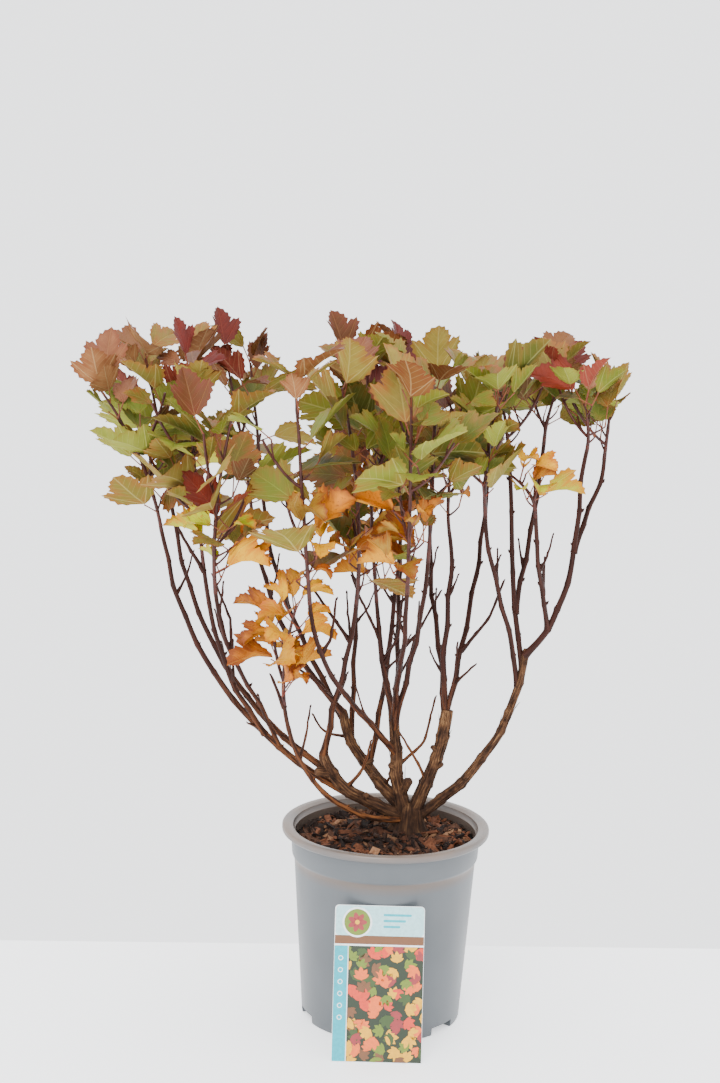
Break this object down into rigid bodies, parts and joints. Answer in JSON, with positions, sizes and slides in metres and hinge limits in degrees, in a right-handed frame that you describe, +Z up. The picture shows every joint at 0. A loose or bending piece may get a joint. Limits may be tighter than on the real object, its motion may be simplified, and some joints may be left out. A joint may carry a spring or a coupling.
{
  "type": "potted ninebark shrub",
  "caption": "Many-stemmed ninebark shrub in autumn leaf, in a round grey nursery pot with a plain picture card leaning on it.",
  "frame": {"origin": "centre of the pot's flat underside", "axes": "+Z up, along the plant's height; +X to the right and +Y to the back, seen from the side where the card stands"},
  "size_m": [0.5998, 0.5184, 0.7825],
  "materials": {
    "pot": "cool mid-grey moulded plastic, satin, with faint scuffs",
    "mulch": "coarse red-brown bark chips over dark compost",
    "card": "thin printed plastic card, satin",
    "old_wood": "old tan-brown bark that peels in strips",
    "young_bark": "dark reddish-brown young bark with buds",
    "leaf_green": "soft green leaf with a paler underside",
    "leaf_olive": "olive leaf turning tan at its edge",
    "leaf_bronze": "bronze to pinkish-brown leaf",
    "leaf_crimson": "deep crimson young leaf",
    "leaf_amber": "amber-orange autumn leaf",
    "leaf_yellow": "clear yellow autumn leaf"
  },
  "bodies": {
    "root": {"pot": "pot", "mulch": "mulch", "plant_card": "card", "stool": "old_wood", "old_stem_back": "old_wood", "old_stem_centre": "old_wood", "old_stem_left": "old_wood", "old_stem_long": "old_wood", "old_stem_right": "old_wood", "cane_back_far": "young_bark", "cane_back_inner": "young_bark", "cane_back_left": "young_bark", "cane_back_mid": "young_bark", "cane_back_right": "young_bark", "cane_centre": "young_bark", "cane_centre_front": "young_bark", "cane_centre_right": "young_bark", "cane_front_low": "young_bark", "cane_front_mid": "young_bark", "cane_knob": "young_bark", "cane_left_back": "young_bark", "cane_left_front": "young_bark", "cane_left_inner": "young_bark", "cane_left_low": "young_bark", "cane_left_thin": "young_bark", "cane_right_back": "young_bark", "cane_right_bent": "young_bark", "cane_right_edge": "young_bark", "cane_right_far": "young_bark", "cane_right_inner": "young_bark", "cane_right_mid": "young_bark", "cane_right_rise": "young_bark", "cane_right_tall": "young_bark", "leaves_back_far": "leaf_crimson", "leaves_back_inner": "leaf_olive", "leaves_back_left": "leaf_olive", "leaves_back_mid": "leaf_bronze", "leaves_back_right": "leaf_bronze", "leaves_centre": "leaf_olive", "leaves_centre_front": "leaf_green", "leaves_centre_right": "leaf_green", "leaves_front_low": "leaf_amber", "leaves_front_mid": "leaf_olive", "leaves_knob": "leaf_green", "leaves_left_back": "leaf_olive", "leaves_left_front": "leaf_crimson", "leaves_left_inner": "leaf_crimson", "leaves_left_low": "leaf_bronze", "leaves_left_thin": "leaf_green", "leaves_right_back": "leaf_crimson", "leaves_right_bent": "leaf_yellow", "leaves_right_edge": "leaf_green", "leaves_right_far": "leaf_crimson", "leaves_right_inner": "leaf_green", "leaves_right_mid": "leaf_amber", "leaves_right_rise": "leaf_bronze", "leaves_right_tall": "leaf_crimson"}
  },
  "joints": []
}
